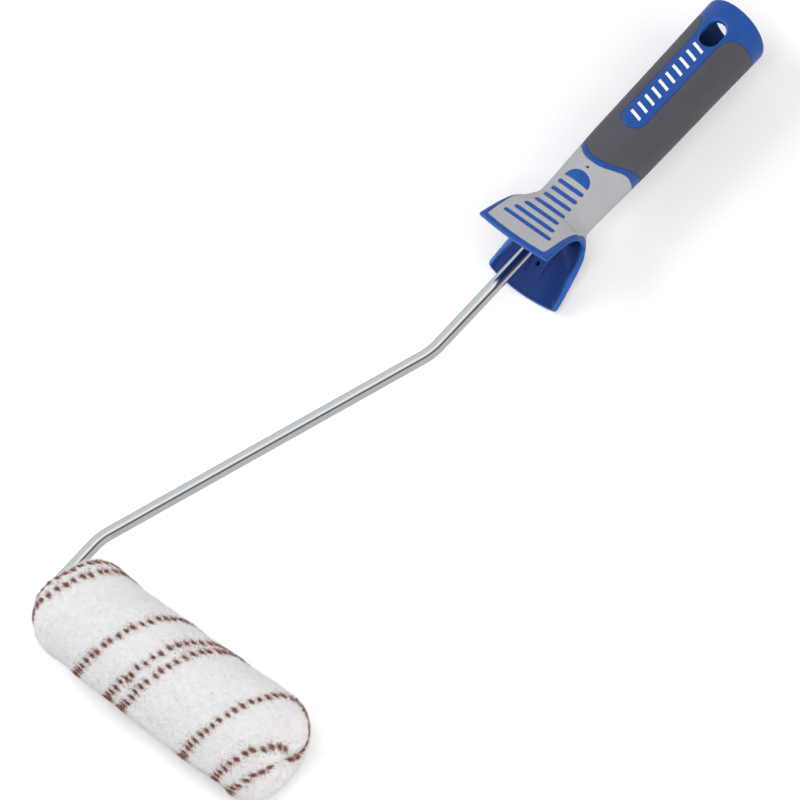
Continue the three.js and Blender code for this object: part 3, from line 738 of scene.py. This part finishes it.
def ring_quads(grid):
    """Quads between the rows of a grid of vertex numbers whose rows close on themselves."""
    beside = np.roll(grid, -1, axis=1)
    return np.stack([grid[:-1], grid[1:], beside[1:], beside[:-1]], -1).reshape(-1, 4)


def pile_body():
    """The plush's dense inner body, whose surface the fibre tips stand out of."""
    run = np.linspace(0.0, 1.0, BODY_RINGS)
    angle = np.linspace(0, 2 * math.pi, BODY_SIDES, endpoint=False)
    run_grid, angle_grid = np.meshgrid(run, angle, indexing="ij")
    points, outward = pile_point(run_grid.ravel(), angle_grid.ravel())
    lift = sag(points)
    for height, scale, seed in CLUMPS:
        lift += height * ripple(points, scale, seed)
    lift -= FUR_DEPTH
    # The points on the axis coincide, so they stay where they are.
    fade = np.clip(np.hypot(points[:, 0], points[:, 2]) / LIFT_FADE, 0, 1)
    points = points + outward * (lift * fade)[:, None]
    grid = np.arange(len(points)).reshape(BODY_RINGS, BODY_SIDES)
    inner = inner_wall(BODY_SIDES)
    wall = len(points) + np.arange(len(inner)).reshape(-1, BODY_SIDES)
    quads = np.concatenate([ring_quads(grid), ring_quads(np.concatenate([grid[-1:], wall]))])
    cover = tuft_cover(run_grid.ravel() * LENGTHS[-1], angle_grid.ravel())
    made = new_piece("pile_body", on_roller(np.concatenate([points, inner])), quads)
    paint(made, "tuft", np.concatenate([cover, np.zeros(len(inner))]))
    return made


def inner_wall(sides):
    """Rings down the bore and back to the axis, which close the plush round its core tube."""
    tube_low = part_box("closed_end_bearing")[0].y / MM - 0.3
    tube_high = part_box("open_end_bearing")[1].y / MM + 2.6
    stations = [
        (EYE_RADIUS, tube_high + 0.6),
        (BORE_RADIUS, tube_high),
        (BORE_RADIUS, tube_low),
        (0.05, tube_low),
    ]
    angle = np.linspace(0, 2 * math.pi, sides, endpoint=False)
    rings = [np.stack([r * np.sin(angle), np.full(sides, y), r * np.cos(angle)], 1) for r, y in stations]
    return np.concatenate(rings)


def crosswise(direction):
    """Two directions square to each given one and to each other, at a random turn."""
    side = unit(np.cross(direction, rng.normal(size=direction.shape)))
    return side, np.cross(direction, side)


def hairs(name, rings, tips, spokes):
    """Closed three-sided hairs through rings of a centre and a radius each, ending in a point."""
    side, other = spokes
    verts = []
    for centre, radius in rings:
        for k in range(3):
            turn = 2 * math.pi * k / 3
            spoke = side * math.cos(turn) + other * math.sin(turn)
            verts.append(centre + spoke * radius[:, None])
    verts.append(tips)
    size = len(verts)
    last = size - 4
    pattern = [(2, 1, 0)]
    for k in range(3):
        j = (k + 1) % 3
        for i in range(0, last, 3):
            pattern += [(i + k, i + j, i + 3 + j), (i + k, i + 3 + j, i + 3 + k)]
        pattern.append((last + k, last + j, size - 1))
    base = (np.arange(len(tips)) * size)[:, None, None]
    faces = (base + np.array(pattern)[None]).reshape(-1, 3)
    return new_piece(name, on_roller(np.stack(verts, 1).reshape(-1, 3)), faces)


def fibres(name, roots, outward, length, radius, lean):
    """Hairs of two bent segments."""
    spokes = crosswise(outward)
    sway = rng.normal(size=roots.shape) * FIBRE_CURL
    grow = unit(outward + lean)
    middle = roots + grow * (length * HAIR_BEND)[:, None]
    tips = middle + (grow + sway) * (length * (1 - HAIR_BEND))[:, None]
    return hairs(name, ((roots, radius), (middle, radius * HAIR_TAPER)), tips, spokes)


def spread_over_pile(count):
    """Random places spread evenly over the plush's area."""
    weight = np.cumsum(PROFILE[:, 0])
    weight /= weight[-1]
    run = np.interp(rng.uniform(0, 1, count), weight, np.linspace(0, 1, len(PROFILE)))
    return run, rng.uniform(0, 2 * math.pi, count)


def white_fibres(name, count):
    run, angle = spread_over_pile(count)
    keep = rng.uniform(0, 1, count) > THINNED * tuft_cover(run * LENGTHS[-1], angle)
    run, angle = run[keep], angle[keep]
    count = len(run)
    points, outward = pile_point(run, angle)
    surface = points + outward * sag(points)[:, None]
    length = rng.uniform(*FIBRE_LENGTHS, count)
    roots = surface - outward * (FUR_DEPTH + ROOT_DEPTH)
    lean = rng.normal(size=(count, 3)) * FIBRE_LEAN
    return fibres(name, roots, outward, length, rng.uniform(*FIBRE_RADII, count), lean)


def thread_walk(y_top, run):
    """One thread's tufts: a helix along the flank that carries on over both rounded ends."""
    fine = np.linspace(0, LENGTHS[-1], 600)
    pace = END_TURN + (1 - END_TURN) * smoothstep(*END_ZONE, fine)
    turned = np.concatenate([[0], np.cumsum((pace[1:] + pace[:-1]) / 2 * np.diff(fine))])
    rate = 2 * math.pi / THREAD_PITCH
    middle = np.interp(np.interp(y_top, PROFILE[:, 1], LENGTHS), fine, turned)
    places, angles = [], []
    while run < LENGTHS[-1] - LAST_TUFT:
        places.append(run)
        angles.append(THREAD_ANGLE - rate * (np.interp(run, fine, turned) - middle))
        radius = np.interp(run, LENGTHS, PROFILE[:, 0])
        run += TUFT_PITCH / math.hypot(1, rate * radius * np.interp(run, fine, pace))
    return np.array(places), np.array(angles)


def tuft_places():
    """Every tuft's place along the outline, angle and size."""
    walks = [thread_walk(*thread) for thread in THREADS]
    place = np.concatenate([w[0] for w in walks])
    angle = np.concatenate([w[1] for w in walks])
    growth = 1 + TUFT_GROWTH - TUFT_GROWTH * smoothstep(*TUFT_GROWTH_ZONE, place)
    size = rng.uniform(*TUFT_SIZES, len(place)) * growth
    place = place + rng.normal(size=len(place)) * TUFT_SHIFT
    angle = angle + rng.normal(size=len(place)) * TUFT_TURN / PILE_RADIUS
    return place, angle, size


def tuft_cover(place, angle):
    """How deep in a tuft each point of the plush lies, from 0 outside to 1 in the middle."""
    best = np.zeros(len(place))
    radius = np.clip(np.interp(place, LENGTHS, PROFILE[:, 0]), 3, None)
    for tuft_place, tuft_angle, size in zip(*TUFTS):
        along = (place - tuft_place) / (TUFT_ALONG * size)
        near = np.abs(along) < 4
        turn = (angle[near] - tuft_angle + math.pi) % (2 * math.pi) - math.pi
        around = turn * radius[near] / (TUFT_AROUND * size)
        best[near] = np.maximum(best[near], np.exp(-(along[near] ** 2 + around**2) / 2))
    return best


def marker_tufts():
    """The brown threads' cut ends: a loose tuft of short fibres at each stitch."""
    place, angle, size = (np.repeat(t, TUFT_FIBRES) for t in TUFTS)
    count = len(place)
    along = rng.normal(size=count) * TUFT_ALONG * size
    around = rng.normal(size=count) * TUFT_AROUND * size
    stray = rng.uniform(0, 1, count) < STRAYS
    along = np.where(stray, along * STRAY_ALONG, along)
    around = np.where(stray, around * STRAY_AROUND, around)
    radius = np.interp(place, LENGTHS, PROFILE[:, 0])
    share = np.clip((place + along) / LENGTHS[-1], 0, 1)
    turn = angle + around / np.clip(radius, 4, None)
    points, outward = pile_point(share, turn)
    surface = points + outward * sag(points)[:, None]
    length = rng.uniform(*FIBRE_LENGTHS, count)
    tip = rng.uniform(*TUFT_TIPS, count)
    roots = surface + outward * (tip - length * SPIKE_RISE)[:, None]
    lean = rng.normal(size=(count, 3)) * FIBRE_LEAN
    drawn = 1 - smoothstep(*COMBED_ZONE, place)
    inward = -points * (1, 0, 1)
    inward /= np.clip(np.linalg.norm(inward, axis=1), 1e-3, None)[:, None]
    lean += inward * (drawn * COMBED)[:, None]
    return spikes("marker_tufts", roots, outward + lean, length, rng.uniform(*TUFT_RADII, count))


def spikes(name, roots, grow, length, radius):
    """Straight hairs, for fibres seen mostly from their tips."""
    grow = unit(grow)
    return hairs(name, ((roots, radius),), roots + grow * length[:, None], crosswise(grow))


TUFTS = tuft_places()


# ---- materials
BLUE_COLOUR, BLUE_SHADE = (0.0050, 0.062, 0.290), (0.0045, 0.054, 0.262)
# The rim blue is a painted highlight; the inner and deep blues are painted shade inside the mouth, the
# socket and the holes.
RIM_HIGHLIGHT_BLUE, INNER_SHADE_BLUE, DEEP_SHADE_BLUE = (0.0055, 0.100, 0.400), (0.0085, 0.028, 0.135), (0.001, 0.002, 0.006)
ZINC_BLUE, ZINC_PINK, ZINC_DARK_REFLECTION = (0.76, 0.78, 0.79), (0.79, 0.78, 0.78), (0.36, 0.34, 0.35)
PILE_WHITE, PILE_SHADE = (0.69, 0.685, 0.68), (0.64, 0.63, 0.625)
BROWN = (0.20, 0.055, 0.026)


def material(name):
    made = bpy.data.materials.new(name)
    made.use_nodes = True
    tree = made.node_tree
    return made, tree, tree.nodes["Principled BSDF"]


def node(tree, kind, **settings):
    made = tree.nodes.new(kind)
    for key, value in settings.items():
        if key in made.inputs:
            made.inputs[key].default_value = value
        else:
            setattr(made, key, value)
    return made


def coordinates(tree, scale=(1, 1, 1)):
    """Object coordinates in mm, stretched by scale."""
    place = node(tree, "ShaderNodeTexCoord")
    mapping = node(tree, "ShaderNodeMapping")
    mapping.inputs["Scale"].default_value = [1000 * s for s in scale]
    tree.links.new(place.outputs["Object"], mapping.inputs["Vector"])
    return mapping.outputs["Vector"]


def noise(tree, where, scale, detail=3.0, roughness=0.55):
    made = node(tree, "ShaderNodeTexNoise")
    made.inputs["Scale"].default_value = scale
    made.inputs["Detail"].default_value = detail
    made.inputs["Roughness"].default_value = roughness
    tree.links.new(where, made.inputs["Vector"])
    return made.outputs["Fac"]


def ranged(tree, value, low, high, out_low, out_high):
    made = node(tree, "ShaderNodeMapRange")
    for key, number in zip(("From Min", "From Max", "To Min", "To Max"), (low, high, out_low, out_high)):
        made.inputs[key].default_value = number
    tree.links.new(value, made.inputs["Value"])
    return made.outputs["Result"]


def mixed(tree, share, first, second):
    """Two colours, or the outputs of nodes, mixed by share."""
    made = node(tree, "ShaderNodeMix", data_type="RGBA")
    tree.links.new(share, made.inputs["Factor"])
    for key, colour in (("A", first), ("B", second)):
        if isinstance(colour, tuple):
            made.inputs[key].default_value = (*colour, 1)
        else:
            tree.links.new(colour, made.inputs[key])
    return made.outputs["Result"]


def painted(tree, name):
    made = node(tree, "ShaderNodeAttribute")
    made.attribute_name = name
    return made.outputs["Fac"]


def bump(tree, shader, height, strength, distance):
    made = node(tree, "ShaderNodeBump")
    made.inputs["Strength"].default_value = strength
    made.inputs["Distance"].default_value = distance * MM
    tree.links.new(height, made.inputs["Height"])
    tree.links.new(made.outputs["Normal"], shader.inputs["Normal"])


def moulded(name, colour, shade, rough, grain, grain_scale, shine=0.5):
    """Moulded plastic or rubber: faint mottling, a fine grain and a slightly uneven gloss."""
    made, tree, shader = material(name)
    where = coordinates(tree)
    mottle = ranged(tree, noise(tree, where, 0.09), 0.35, 0.65, 0, 1)
    tree.links.new(mixed(tree, mottle, colour, shade), shader.inputs["Base Color"])
    gloss = ranged(tree, noise(tree, where, 0.5, 4), 0.3, 0.7, rough - 0.05, rough + 0.06)
    tree.links.new(gloss, shader.inputs["Roughness"])
    shader.inputs["Specular IOR Level"].default_value = shine
    bump(tree, shader, noise(tree, where, grain_scale, 2), grain, 0.05)
    return made


def blue_plastic(name):
    """Hard blue plastic: a painted highlight along the rims just below the outside, and painted shade
    darker down inside.
    """
    made = moulded(name, BLUE_COLOUR, BLUE_SHADE, 0.34, 0.08, 3.0, 0.42)
    tree = made.node_tree
    shader = tree.nodes["Principled BSDF"]
    colour = shader.inputs["Base Color"].links[0].from_socket
    depth = painted(tree, "depth")
    # Painted highlight: an unevenly strong, brighter blue on the band just below the outside, where the
    # rims catch the light.
    uneven = ranged(tree, noise(tree, coordinates(tree), 0.25), 0.3, 0.7, 0.75, 1)
    rim_highlight = node(tree, "ShaderNodeMath", operation="MULTIPLY")
    tree.links.new(ranged(tree, depth, 0.15, 0.7, 0, 1), rim_highlight.inputs[0])
    tree.links.new(uneven, rim_highlight.inputs[1])
    colour = mixed(tree, rim_highlight.outputs[0], colour, RIM_HIGHLIGHT_BLUE)
    # Painted shade: the blue darkens further down inside, to near black deepest in.
    colour = mixed(tree, ranged(tree, depth, 1.9, 2.7, 0, 1), colour, INNER_SHADE_BLUE)
    colour = mixed(tree, ranged(tree, depth, 4.4, 6.0, 0, 1), colour, DEEP_SHADE_BLUE)
    tree.links.new(colour, shader.inputs["Base Color"])
    # Reflections are dimmed down inside too, as painted shade.
    tree.links.new(ranged(tree, depth, 1.9, 2.7, 0.42, 0.1), shader.inputs["Specular IOR Level"])
    return made


def zinc_wire(name):
    """Bright zinc on steel: fine drawn lines, a faint blue and pink cast and a painted dark reflection
    toward the outline.
    """
    made, tree, shader = material(name)
    where = coordinates(tree)
    cast = ranged(tree, noise(tree, where, 0.02, 2), 0.4, 0.6, 0, 1)
    colour = mixed(tree, cast, ZINC_BLUE, ZINC_PINK)
    # Painted reflection: the colour darkens where the surface turns away from the view, toward the wire's
    # outline.
    facing = node(tree, "ShaderNodeLayerWeight", Blend=0.5)
    edge = ranged(tree, facing.outputs["Facing"], 0.62, 0.96, 0, 1)
    tree.links.new(mixed(tree, edge, colour, ZINC_DARK_REFLECTION), shader.inputs["Base Color"])
    shader.inputs["Metallic"].default_value = 1.0
    lines = noise(tree, coordinates(tree, (0.08, 0.6, 4)), 1.2, 3)
    tree.links.new(ranged(tree, lines, 0.3, 0.7, 0.08, 0.14), shader.inputs["Roughness"])
    bump(tree, shader, lines, 0.08, 0.03)
    return made


def plush(name):
    """White pile in soft clumps of light and shade, brown where a marker tuft is rooted."""
    made, tree, shader = material(name)
    where = coordinates(tree)
    clump = ranged(tree, noise(tree, where, 0.5, 4, 0.6), 0.3, 0.7, 0, 1)
    white = mixed(tree, clump, PILE_WHITE, PILE_SHADE)
    ragged = node(tree, "ShaderNodeMath", operation="MULTIPLY")
    tree.links.new(painted(tree, "tuft"), ragged.inputs[0])
    tree.links.new(ranged(tree, noise(tree, where, 2.5, 3), 0.3, 0.7, 0.6, 1.5), ragged.inputs[1])
    brown = ranged(tree, ragged.outputs[0], 0.28, 0.9, 0, 1)
    tree.links.new(mixed(tree, brown, white, BROWN), shader.inputs["Base Color"])
    shader.inputs["Roughness"].default_value = 0.95
    shader.inputs["Specular IOR Level"].default_value = 0.1
    shader.inputs["Sheen Weight"].default_value = 0.15
    shader.inputs["Sheen Roughness"].default_value = 0.5
    bump(tree, shader, noise(tree, where, 2.2, 4, 0.7), 0.3, 0.3)
    return made


def fibre(name, colour, shade, sheen):
    """Single fibres that vary between two tones."""
    made, tree, shader = material(name)
    where = coordinates(tree)
    vary = ranged(tree, noise(tree, where, 0.8, 2), 0.35, 0.65, 0, 1)
    tree.links.new(mixed(tree, vary, colour, shade), shader.inputs["Base Color"])
    gloss = ranged(tree, noise(tree, where, 3.0, 2), 0.3, 0.7, 0.7, 0.9)
    tree.links.new(gloss, shader.inputs["Roughness"])
    shader.inputs["Specular IOR Level"].default_value = 0.15
    shader.inputs["Sheen Weight"].default_value = sheen
    return made


BLUE = blue_plastic("blue_plastic")
LIGHT = moulded("light_rubber", (0.375, 0.38, 0.40), (0.355, 0.36, 0.378), 0.55, 0.15, 5.0, 0.3)
DARK = moulded("dark_rubber", (0.066, 0.064, 0.078), (0.059, 0.057, 0.069), 0.5, 0.22, 5.0, 0.4)
INNER_WHITE = moulded("white_plastic", (0.72, 0.72, 0.70), (0.66, 0.66, 0.64), 0.45, 0.1, 2.0)
PRINT = moulded("print_white", (0.80, 0.81, 0.83), (0.76, 0.77, 0.79), 0.4, 0.05, 4.0)
ZINC = zinc_wire("zinc_wire")
SPRING = zinc_wire("spring_steel")
PLUSH = plush("plush_pile")
WHITE_FIBRE = fibre("white_fibre", (0.75, 0.745, 0.74), (0.70, 0.69, 0.685), 0.12)
BROWN_FIBRE = fibre("brown_fibre", (0.33, 0.105, 0.052), (0.20, 0.058, 0.028), 0.1)


# ---- assembly
def put(piece, body, material_slot, finish, *stands_for):
    """Ride a piece on its body, in place of the CAD nodes named last."""
    swap_material(piece, finish)
    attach(piece, body)
    if stands_for:
        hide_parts(*stands_for)


put(handle_core(), "frame", "blue_plastic", BLUE, "handle_core")
put(neck_skin(), "frame", "light_rubber", LIGHT, "neck_skin")
put(grip_skin(), "frame", "dark_rubber", DARK, "grip_skin")
put(panel_bars(), "frame", "blue_plastic", PRINT)
put(wire_frame(), "frame", "zinc_wire", ZINC, "wire_frame")
put(pile_body(), "roller", "plush_pile", PLUSH, "pile_cover")
for name in ("pile_fibres_a", "pile_fibres_b"):
    put(white_fibres(name, WHITE_FIBRES), "roller", "plush_pile", WHITE_FIBRE)
put(marker_tufts(), "roller", "plush_pile", BROWN_FIBRE)

for name in ("core_tube", "open_end_bearing", "closed_end_bearing", "thrust_washer"):
    swap_material(frame["nodes"][name], INNER_WHITE)
swap_material(frame["nodes"]["retaining_ring"], SPRING)


# ---- floor, light and camera
FLOOR_REACH = 3.0


def floor():
    """A pale floor that glossy surfaces don't mirror: the studio gives its reflection."""
    reach = FLOOR_REACH
    corners = [(-reach, -reach, 0), (reach, -reach, 0), (reach, reach, 0), (-reach, reach, 0)]
    obj = new_piece("floor", corners, [(0, 1, 2, 3)], smooth=False)
    ground, tree, shader = material("floor")
    where = coordinates(tree)
    tone = ranged(tree, noise(tree, where, 0.01), 0.3, 0.7, 0, 1)
    tree.links.new(mixed(tree, tone, (0.86, 0.86, 0.86), (0.88, 0.88, 0.88)), shader.inputs["Base Color"])
    shader.inputs["Roughness"].default_value = 0.8
    shader.inputs["Specular IOR Level"].default_value = 0.1
    shader.inputs["Emission Color"].default_value = (1, 1, 1, 1)
    shader.inputs["Emission Strength"].default_value = 0.1
    obj.data.materials.append(ground)
    obj.visible_glossy = False


def area_light(name, power, size, position, colour, mirrored):
    """A square light that faces the middle of the floor."""
    data = bpy.data.lights.new(name, "AREA")
    data.energy = power
    data.size = size
    data.color = colour
    obj = bpy.data.objects.new(name, data)
    obj.location = position
    obj.rotation_euler = (-Vector(position)).to_track_quat("-Z", "Y").to_euler()
    obj.visible_glossy = mirrored
    bpy.context.scene.collection.objects.link(obj)


# What bright surfaces mirror above the floor, from -Y at 0 to +Y at 1: the tent's grey foot, the
# dark gap above it, the white soft box and the bluish far side.
SOFT_BOX = (
    (0.00, (0.62, 0.60, 0.61)),
    (0.06, (0.52, 0.50, 0.52)),
    (0.10, (0.07, 0.07, 0.07)),
    (0.18, (0.07, 0.07, 0.07)),
    (0.25, (0.75, 0.75, 0.75)),
    (0.36, (1.00, 1.00, 1.00)),
    (0.50, (1.10, 1.10, 1.10)),
    (0.60, (0.66, 0.72, 0.75)),
    (1.00, (0.67, 0.73, 0.76)),
)
MIRRORED_FLOOR = (0.60, 0.57, 0.59)
TENT_SIDE, TENT_TOP = (0.95, 0.95, 0.95), (0.26, 0.27, 0.29)
# Name, power, size, position, colour and whether glossy surfaces mirror it.
LIGHTS = (
    ("key", 10, 0.8, (-0.4, 1.0, 0.9), (0.95, 0.98, 1.0), True),
    ("fill", 8, 1.0, (0.2, -1.1, 0.8), (1.0, 0.94, 0.90), False),
    ("top", 9, 0.8, (-0.5, -0.4, 1.4), (1, 1, 1), False),
)


def reflections(tree, parts):
    """The tent as glossy surfaces see it, above a floor of one colour."""
    across = ranged(tree, parts.outputs["Y"], -1, 1, 0, 1)
    ramp = node(tree, "ShaderNodeValToRGB")
    stops = ramp.color_ramp.elements
    while len(stops) < len(SOFT_BOX):
        stops.new(0.5)
    for stop, (position, colour) in zip(stops, SOFT_BOX):
        stop.position = position
        stop.color = (*colour, 1)
    tree.links.new(across, ramp.inputs["Fac"])
    above = ranged(tree, parts.outputs["Z"], -0.05, 0.05, 0, 1)
    return mixed(tree, above, MIRRORED_FLOOR, ramp.outputs["Color"])


def studio():
    """A light tent, darker overhead, with a cool key, a warm fill and a top."""
    world = bpy.data.worlds.new("studio")
    world.use_nodes = True
    tree = world.node_tree
    place = node(tree, "ShaderNodeTexCoord")
    parts = node(tree, "ShaderNodeSeparateXYZ")
    tree.links.new(place.outputs["Generated"], parts.inputs["Vector"])
    height = ranged(tree, parts.outputs["Z"], 0.05, 0.85, 0, 1)
    tent = mixed(tree, height, TENT_SIDE, TENT_TOP)
    mirrored = reflections(tree, parts)
    path = node(tree, "ShaderNodeLightPath")
    seen = mixed(tree, path.outputs["Is Glossy Ray"], tent, mirrored)
    tree.links.new(seen, tree.nodes["Background"].inputs["Color"])
    bpy.context.scene.world = world
    for light in LIGHTS:
        area_light(*light)


# The camera looks down from the roller's free end, rolled a little about its line of sight.
CAMERA_RIGHT = Vector((0.654, -0.747, -0.121))
CAMERA_UP = Vector((0.695, 0.528, 0.488))
VIEW_OFFSET = Vector((-0.02155, 0.0091, 0.0001))
VIEW_WIDTH = 0.352
CAMERA_DISTANCE = 15.0
CAMERA_REACH = 40.0
SENSOR = 36.0


def camera():
    data = bpy.data.cameras.new("camera")
    data.sensor_width = SENSOR
    data.lens = SENSOR * CAMERA_DISTANCE / VIEW_WIDTH
    data.clip_end = CAMERA_REACH
    right = CAMERA_RIGHT.normalized()
    back = right.cross(CAMERA_UP).normalized()
    up = back.cross(right)
    middle = Vector((0, 0, AXIS_Z)) + VIEW_OFFSET
    turn = Matrix((right, up, back)).transposed().to_4x4()
    obj = bpy.data.objects.new("camera", data)
    obj.matrix_world = Matrix.Translation(middle + back * CAMERA_DISTANCE) @ turn
    bpy.context.scene.collection.objects.link(obj)
    bpy.context.scene.camera = obj


floor()
studio()
camera()
bpy.context.scene.view_settings.view_transform = "Standard"
